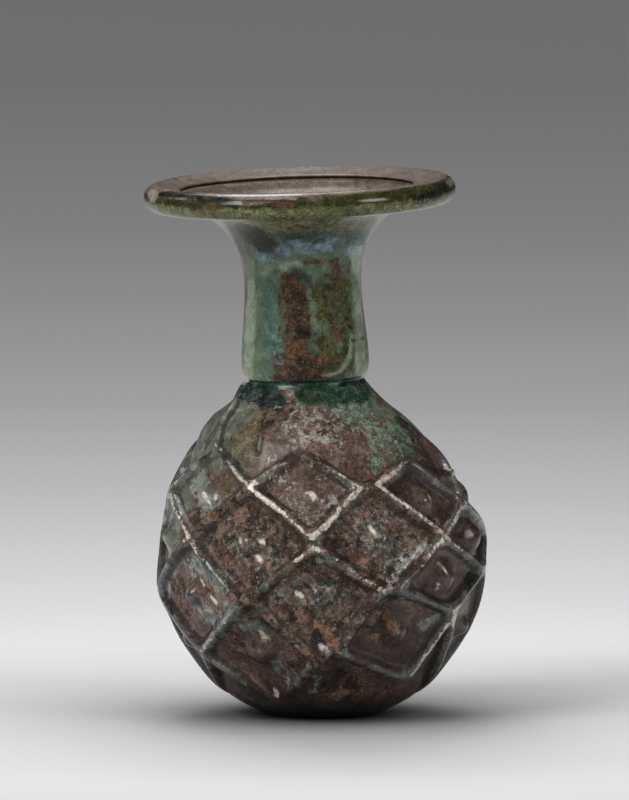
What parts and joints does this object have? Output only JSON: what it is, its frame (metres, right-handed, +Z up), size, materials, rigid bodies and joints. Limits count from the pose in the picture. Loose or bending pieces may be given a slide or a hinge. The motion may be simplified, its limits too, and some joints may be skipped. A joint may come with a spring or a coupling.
{
  "type": "sprinkler flask",
  "caption": "Small mould-blown glass flask with a lozenge-and-boss body, a pierced washer inside the neck and a wide folded mouth, for shaking out scent drop by drop.",
  "frame": {"origin": "centre of the flat foot, on the surface that the flask stands on", "axes": "+Z up, -Y towards the front as pictured, +X to the right"},
  "size_m": [0.0624, 0.0601, 0.0984],
  "materials": {
    "body_glass": "clear green-grey glass over a brown and mauve burial crust, silvery ribs, iridescent patches",
    "washer_glass": "thick emerald glass, glossy",
    "neck_glass": "clear teal-green glass with an olive patch and a brown streak of crust",
    "mouth_glass": "olive to green glass, mauve film inside, fine scratches"
  },
  "bodies": {
    "root": {"base_pad": "body_glass", "lozenge_body": "body_glass", "shoulder": "body_glass", "sprinkler_diaphragm": "washer_glass", "neck_tube": "neck_glass", "mouth_flare": "neck_glass", "mouth_disc": "mouth_glass", "rolled_rim": "mouth_glass", "folded_lip": "mouth_glass"}
  },
  "joints": []
}
